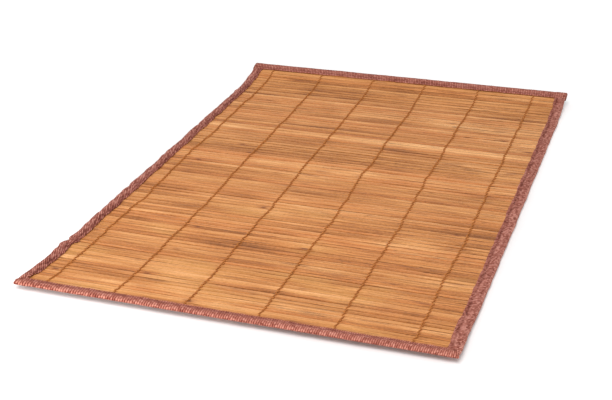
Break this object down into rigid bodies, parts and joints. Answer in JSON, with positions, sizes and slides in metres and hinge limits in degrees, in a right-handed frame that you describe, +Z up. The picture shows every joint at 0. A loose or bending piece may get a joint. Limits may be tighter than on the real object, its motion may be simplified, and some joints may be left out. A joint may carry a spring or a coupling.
{
  "type": "rolling mat",
  "caption": "Roll-up mat of bamboo slats tied by cotton warps, with a folded cloth tape sewn round all four edges.",
  "frame": {"origin": "on the table, under the middle of the open mat", "axes": "+X along the slats to the right, +Y from the front edge to the back edge, +Z up from the table"},
  "size_m": [0.3, 0.4494, 0.0112],
  "materials": {
    "bamboo": "satin oiled bamboo",
    "warp_thread": "twisted cotton, matte",
    "tape": "ribbed cotton tape, matte",
    "seam_thread": "sewing thread, matte"
  },
  "bodies": {
    "panel_01": {"slats_01": "bamboo", "threads_01": "warp_thread", "side_bindings_01": "tape", "front_binding": "tape", "front_stitching": "seam_thread"},
    "panel_02": {"slats_02": "bamboo", "threads_02": "warp_thread", "side_bindings_02": "tape"},
    "panel_03": {"slats_03": "bamboo", "threads_03": "warp_thread", "side_bindings_03": "tape"},
    "panel_04": {"slats_04": "bamboo", "threads_04": "warp_thread", "side_bindings_04": "tape"},
    "panel_05": {"slats_05": "bamboo", "threads_05": "warp_thread", "side_bindings_05": "tape"},
    "panel_06": {"slats_06": "bamboo", "threads_06": "warp_thread", "side_bindings_06": "tape"},
    "panel_07": {"slats_07": "bamboo", "threads_07": "warp_thread", "side_bindings_07": "tape"},
    "panel_08": {"slats_08": "bamboo", "threads_08": "warp_thread", "side_bindings_08": "tape"},
    "panel_09": {"slats_09": "bamboo", "threads_09": "warp_thread", "side_bindings_09": "tape"},
    "panel_10": {"slats_10": "bamboo", "threads_10": "warp_thread", "side_bindings_10": "tape"},
    "panel_11": {"slats_11": "bamboo", "threads_11": "warp_thread", "side_bindings_11": "tape"},
    "panel_12": {"slats_12": "bamboo", "threads_12": "warp_thread", "side_bindings_12": "tape"},
    "panel_13": {"slats_13": "bamboo", "threads_13": "warp_thread", "side_bindings_13": "tape"},
    "panel_14": {"slats_14": "bamboo", "threads_14": "warp_thread", "side_bindings_14": "tape"},
    "panel_15": {"slats_15": "bamboo", "threads_15": "warp_thread", "side_bindings_15": "tape"},
    "panel_16": {"slats_16": "bamboo", "threads_16": "warp_thread", "side_bindings_16": "tape"},
    "panel_17": {"slats_17": "bamboo", "threads_17": "warp_thread", "side_bindings_17": "tape"},
    "panel_18": {"slats_18": "bamboo", "threads_18": "warp_thread", "side_bindings_18": "tape", "back_binding": "tape", "back_stitching": "seam_thread"}
  },
  "joints": [
    {"name": "crease_01", "type": "hinge", "parent": "panel_02", "child": "panel_01", "pos_m": [0, -0.19887, 0.00395], "axis": [-1, 0, 0], "range_deg": [-0.82, 41.17]},
    {"name": "crease_02", "type": "hinge", "parent": "panel_03", "child": "panel_02", "pos_m": [0, -0.17399, 0.00287], "axis": [-1, 0, 0], "range_deg": [-0.82, 40.17]},
    {"name": "crease_03", "type": "hinge", "parent": "panel_04", "child": "panel_03", "pos_m": [0, -0.1491, 0.00216], "axis": [-1, 0, 0], "range_deg": [-0.82, 39.17]},
    {"name": "crease_04", "type": "hinge", "parent": "panel_05", "child": "panel_04", "pos_m": [0, -0.12421, 0.0018], "axis": [-1, 0, 0], "range_deg": [-0.82, 38.67]},
    {"name": "crease_05", "type": "hinge", "parent": "panel_06", "child": "panel_05", "pos_m": [0, -0.09931, 0.0018], "axis": [-1, 0, 0], "range_deg": [0, 38.5]},
    {"name": "crease_06", "type": "hinge", "parent": "panel_07", "child": "panel_06", "pos_m": [0, -0.07441, 0.0018], "axis": [-1, 0, 0], "range_deg": [0, 38]},
    {"name": "crease_07", "type": "hinge", "parent": "panel_08", "child": "panel_07", "pos_m": [0, -0.04951, 0.0018], "axis": [-1, 0, 0], "range_deg": [0, 37]},
    {"name": "crease_08", "type": "hinge", "parent": "panel_09", "child": "panel_08", "pos_m": [0, -0.02461, 0.0018], "axis": [-1, 0, 0], "range_deg": [0, 36.5]},
    {"name": "crease_09", "type": "hinge", "parent": "panel_10", "child": "panel_09", "pos_m": [0, 0.00029, 0.0018], "axis": [-1, 0, 0], "range_deg": [0, 36]},
    {"name": "crease_10", "type": "hinge", "parent": "panel_11", "child": "panel_10", "pos_m": [0, 0.02519, 0.0018], "axis": [-1, 0, 0], "range_deg": [0, 35.5]},
    {"name": "crease_11", "type": "hinge", "parent": "panel_12", "child": "panel_11", "pos_m": [0, 0.05009, 0.0018], "axis": [-1, 0, 0], "range_deg": [0, 34.5]},
    {"name": "crease_12", "type": "hinge", "parent": "panel_13", "child": "panel_12", "pos_m": [0, 0.07499, 0.0018], "axis": [-1, 0, 0], "range_deg": [0, 34]},
    {"name": "crease_13", "type": "hinge", "parent": "panel_14", "child": "panel_13", "pos_m": [0, 0.09989, 0.0018], "axis": [-1, 0, 0], "range_deg": [0, 33.5]},
    {"name": "crease_14", "type": "hinge", "parent": "panel_15", "child": "panel_14", "pos_m": [0, 0.12479, 0.0018], "axis": [-1, 0, 0], "range_deg": [0, 33]},
    {"name": "crease_15", "type": "hinge", "parent": "panel_16", "child": "panel_15", "pos_m": [0, 0.14969, 0.0018], "axis": [-1, 0, 0], "range_deg": [0, 32.5]},
    {"name": "crease_16", "type": "hinge", "parent": "panel_16", "child": "panel_17", "pos_m": [0, 0.17459, 0.0018], "axis": [1, 0, 0], "range_deg": [-6, 26]},
    {"name": "crease_17", "type": "hinge", "parent": "panel_17", "child": "panel_18", "pos_m": [0, 0.19936, 0.0044], "axis": [1, 0, 0], "range_deg": [-6, 25.5]}
  ]
}
